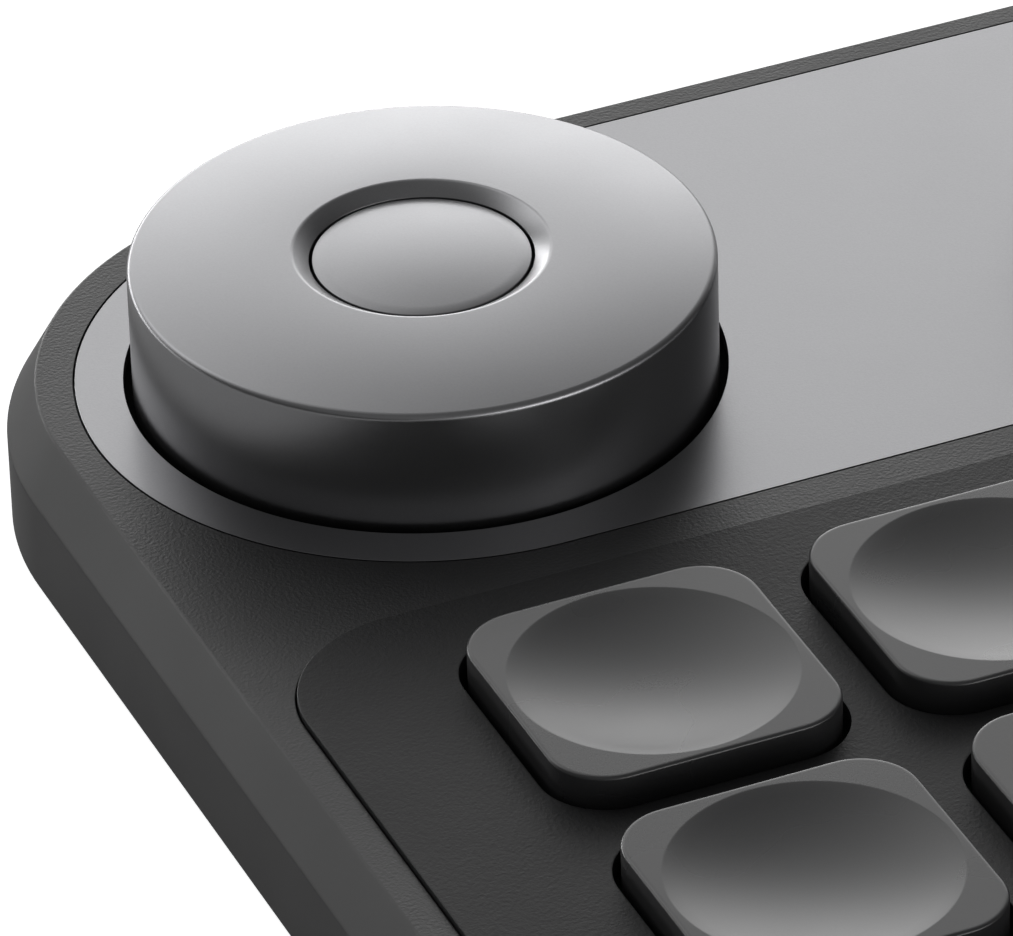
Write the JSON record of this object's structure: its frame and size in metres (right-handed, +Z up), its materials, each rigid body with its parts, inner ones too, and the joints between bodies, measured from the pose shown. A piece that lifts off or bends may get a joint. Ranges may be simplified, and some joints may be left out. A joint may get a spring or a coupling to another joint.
{
  "type": "macro keypad with knobs",
  "caption": "Low macro keypad: a grid of dished square keys in a raised deck, and turned aluminium knobs with a push button through the middle, set in a pill-shaped inlay plate.",
  "frame": {"origin": "on the desk, under the middle of the case's plan box", "axes": "+Z up, +Y to the back, where the knobs and the USB-C inlet are, +X to the right as a user sees the keys"},
  "size_m": [0.0976, 0.1098, 0.0166],
  "materials": {
    "case_plastic": "fine moulded grain on top, smooth satin taper",
    "plate_aluminium": "bead-blasted, anodised",
    "deck_plastic": "fine moulded grain",
    "cover_plastic": "moulded, matt",
    "foot_rubber": "matt silicone rubber",
    "screw_steel": "zinc-plated",
    "board_laminate": "solder mask on glass laminate",
    "chip_epoxy": "moulded epoxy",
    "usb_steel": "plated",
    "switch_plastic": "moulded nylon",
    "dome_steel": "spring steel",
    "encoder_plastic": "moulded",
    "knob_aluminium": "turned, fine satin, anodised",
    "rotor_plastic": "acetal",
    "button_aluminium": "turned, fine satin, anodised",
    "plunger_plastic": "natural acetal",
    "cap_plastic": "satin moulded",
    "stem_plastic": "acetal"
  },
  "bodies": {
    "case": {"top_case": "case_plastic", "inlay_plate": "plate_aluminium", "key_deck": "deck_plastic", "bottom_cover": "cover_plastic", "foot_strips": "foot_rubber", "case_screws": "screw_steel", "circuit_board": "board_laminate", "board_chips": "chip_epoxy", "usb_c_receptacle": "usb_steel", "switch_housings": "switch_plastic", "switch_domes": "dome_steel", "left_encoder_base": "encoder_plastic", "left_button_dome": "dome_steel", "right_encoder_base": "encoder_plastic", "right_button_dome": "dome_steel"},
    "left_knob": {"left_knob": "knob_aluminium", "left_knob_rotor": "rotor_plastic"},
    "left_knob_button": {"left_knob_button": "button_aluminium", "left_button_plunger": "plunger_plastic"},
    "right_knob": {"right_knob": "knob_aluminium", "right_knob_rotor": "rotor_plastic"},
    "right_knob_button": {"right_knob_button": "button_aluminium", "right_button_plunger": "plunger_plastic"},
    "key_r1_c1": {"keycap_r1_c1": "cap_plastic", "switch_stem_r1_c1": "stem_plastic"},
    "key_r1_c2": {"keycap_r1_c2": "cap_plastic", "switch_stem_r1_c2": "stem_plastic"},
    "key_r1_c3": {"keycap_r1_c3": "cap_plastic", "switch_stem_r1_c3": "stem_plastic"},
    "key_r1_c4": {"keycap_r1_c4": "cap_plastic", "switch_stem_r1_c4": "stem_plastic"},
    "key_r2_c1": {"keycap_r2_c1": "cap_plastic", "switch_stem_r2_c1": "stem_plastic"},
    "key_r2_c2": {"keycap_r2_c2": "cap_plastic", "switch_stem_r2_c2": "stem_plastic"},
    "key_r2_c3": {"keycap_r2_c3": "cap_plastic", "switch_stem_r2_c3": "stem_plastic"},
    "key_r2_c4": {"keycap_r2_c4": "cap_plastic", "switch_stem_r2_c4": "stem_plastic"},
    "key_r3_c1": {"keycap_r3_c1": "cap_plastic", "switch_stem_r3_c1": "stem_plastic"},
    "key_r3_c2": {"keycap_r3_c2": "cap_plastic", "switch_stem_r3_c2": "stem_plastic"},
    "key_r3_c3": {"keycap_r3_c3": "cap_plastic", "switch_stem_r3_c3": "stem_plastic"},
    "key_r3_c4": {"keycap_r3_c4": "cap_plastic", "switch_stem_r3_c4": "stem_plastic"}
  },
  "joints": [
    {"name": "left_knob_turn", "type": "hinge", "parent": "case", "child": "left_knob", "pos_m": [-0.02665, 0.03295, 0.0092], "axis": [0, 0, 1], "continuous": true},
    {"name": "left_button_press", "type": "slide", "parent": "case", "child": "left_knob_button", "axis": [0, 0, -1], "range_m": [0, 0.0006], "stiffness_N_per_m": 800, "springref_m": -0.0006},
    {"name": "right_knob_turn", "type": "hinge", "parent": "case", "child": "right_knob", "pos_m": [0.02665, 0.03295, 0.0092], "axis": [0, 0, 1], "continuous": true},
    {"name": "right_button_press", "type": "slide", "parent": "case", "child": "right_knob_button", "axis": [0, 0, -1], "range_m": [0, 0.0006], "stiffness_N_per_m": 800, "springref_m": -0.0006},
    {"name": "key_r1_c1_press", "type": "slide", "parent": "case", "child": "key_r1_c1", "axis": [0, 0, -1], "range_m": [0, 0.0013], "stiffness_N_per_m": 250, "springref_m": -0.0008},
    {"name": "key_r1_c2_press", "type": "slide", "parent": "case", "child": "key_r1_c2", "axis": [0, 0, -1], "range_m": [0, 0.0013], "stiffness_N_per_m": 250, "springref_m": -0.0008},
    {"name": "key_r1_c3_press", "type": "slide", "parent": "case", "child": "key_r1_c3", "axis": [0, 0, -1], "range_m": [0, 0.0013], "stiffness_N_per_m": 250, "springref_m": -0.0008},
    {"name": "key_r1_c4_press", "type": "slide", "parent": "case", "child": "key_r1_c4", "axis": [0, 0, -1], "range_m": [0, 0.0013], "stiffness_N_per_m": 250, "springref_m": -0.0008},
    {"name": "key_r2_c1_press", "type": "slide", "parent": "case", "child": "key_r2_c1", "axis": [0, 0, -1], "range_m": [0, 0.0013], "stiffness_N_per_m": 250, "springref_m": -0.0008},
    {"name": "key_r2_c2_press", "type": "slide", "parent": "case", "child": "key_r2_c2", "axis": [0, 0, -1], "range_m": [0, 0.0013], "stiffness_N_per_m": 250, "springref_m": -0.0008},
    {"name": "key_r2_c3_press", "type": "slide", "parent": "case", "child": "key_r2_c3", "axis": [0, 0, -1], "range_m": [0, 0.0013], "stiffness_N_per_m": 250, "springref_m": -0.0008},
    {"name": "key_r2_c4_press", "type": "slide", "parent": "case", "child": "key_r2_c4", "axis": [0, 0, -1], "range_m": [0, 0.0013], "stiffness_N_per_m": 250, "springref_m": -0.0008},
    {"name": "key_r3_c1_press", "type": "slide", "parent": "case", "child": "key_r3_c1", "axis": [0, 0, -1], "range_m": [0, 0.0013], "stiffness_N_per_m": 250, "springref_m": -0.0008},
    {"name": "key_r3_c2_press", "type": "slide", "parent": "case", "child": "key_r3_c2", "axis": [0, 0, -1], "range_m": [0, 0.0013], "stiffness_N_per_m": 250, "springref_m": -0.0008},
    {"name": "key_r3_c3_press", "type": "slide", "parent": "case", "child": "key_r3_c3", "axis": [0, 0, -1], "range_m": [0, 0.0013], "stiffness_N_per_m": 250, "springref_m": -0.0008},
    {"name": "key_r3_c4_press", "type": "slide", "parent": "case", "child": "key_r3_c4", "axis": [0, 0, -1], "range_m": [0, 0.0013], "stiffness_N_per_m": 250, "springref_m": -0.0008}
  ]
}
